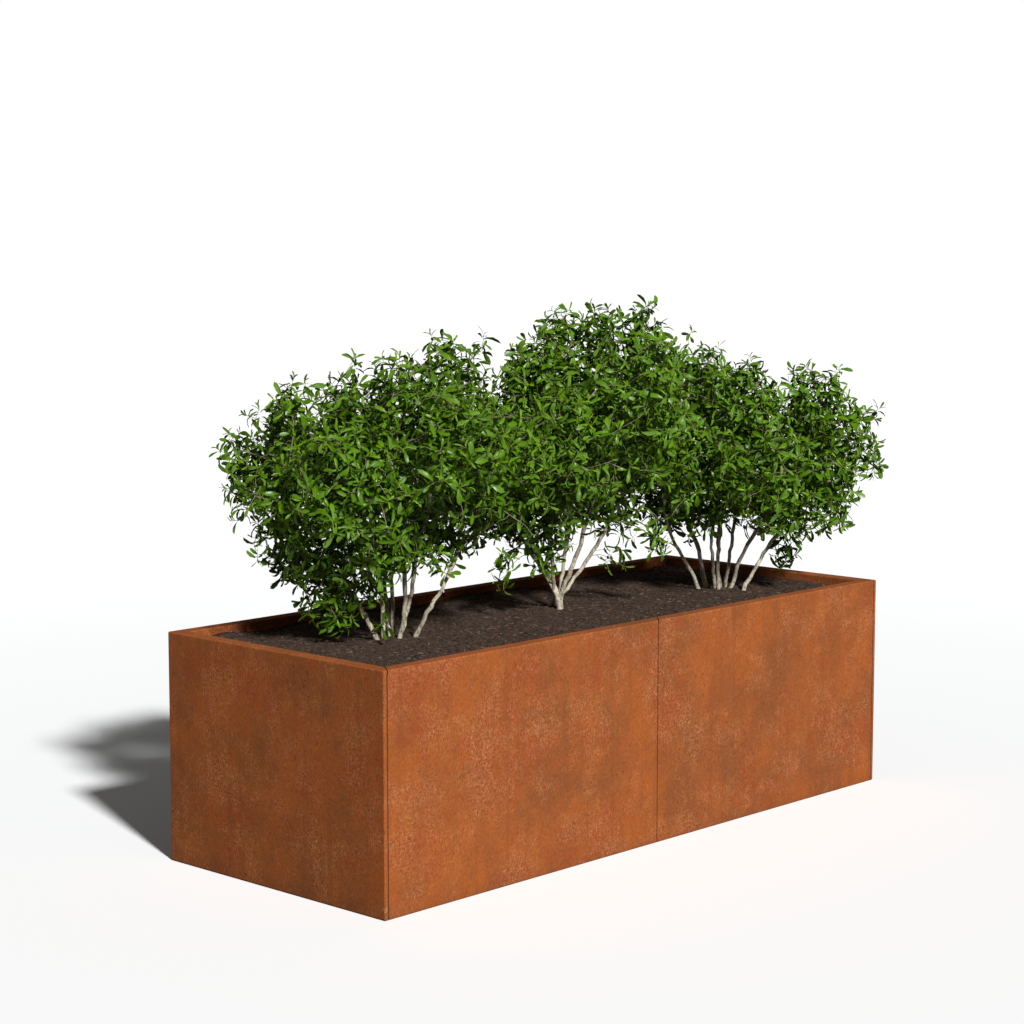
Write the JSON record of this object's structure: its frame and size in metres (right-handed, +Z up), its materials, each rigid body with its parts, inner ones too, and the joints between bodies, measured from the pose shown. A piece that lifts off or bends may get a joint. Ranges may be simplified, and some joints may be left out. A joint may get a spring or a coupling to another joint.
{
  "type": "planter box",
  "caption": "Rectangular street planter of folded weathering-steel panels with a turned-in rim, filled with soil and planted with low evergreen shrubs.",
  "frame": {"origin": "on the ground under the middle of the box", "axes": "+X along the long sides, +Y across the box towards the rear side, +Z up"},
  "size_m": [2.1799, 0.98, 1.43],
  "materials": {
    "weathering_steel": "matte rust patina",
    "zinc_plated_steel": "satin zinc",
    "bare_steel": "bare, dulled by welding",
    "galvanised_steel": "hot-dip galvanised, spangled",
    "liner_plastic": "matte",
    "gravel": "rough",
    "fleece": "felted",
    "soil": "rough, damp",
    "root_soil": "rough, rooted",
    "bark": "rough, weathered",
    "shrub_bark": "rough",
    "leaves": "glossy leaves"
  },
  "bodies": {
    "root": {"front_panel_left": "weathering_steel", "front_panel_right": "weathering_steel", "rear_panel_left": "weathering_steel", "rear_panel_right": "weathering_steel", "end_panel_left": "weathering_steel", "end_panel_right": "weathering_steel", "corner_screws": "zinc_plated_steel", "corner_washers": "zinc_plated_steel", "corner_weld_nuts": "bare_steel", "seam_bolts": "zinc_plated_steel", "seam_washers": "zinc_plated_steel", "seam_nuts": "zinc_plated_steel", "cross_tie": "galvanised_steel", "floor_bearer_1": "galvanised_steel", "floor_bearer_2": "galvanised_steel", "floor_bearer_3": "galvanised_steel", "floor_bearer_4": "galvanised_steel", "floor_bearer_5": "galvanised_steel", "floor_plate_left": "galvanised_steel", "floor_plate_right": "galvanised_steel", "liner": "liner_plastic", "drainage_gravel": "gravel", "filter_fleece": "fleece", "soil_fill": "soil", "bark_mulch": "bark", "left_shrub_root_ball": "root_soil", "centre_shrub_root_ball": "root_soil", "right_shrub_root_ball": "root_soil", "left_shrub_stems": "shrub_bark", "centre_shrub_stems": "shrub_bark", "right_shrub_stems": "shrub_bark", "left_shrub_canopy": "leaves", "centre_shrub_canopy": "leaves", "right_shrub_canopy": "leaves"}
  },
  "joints": []
}
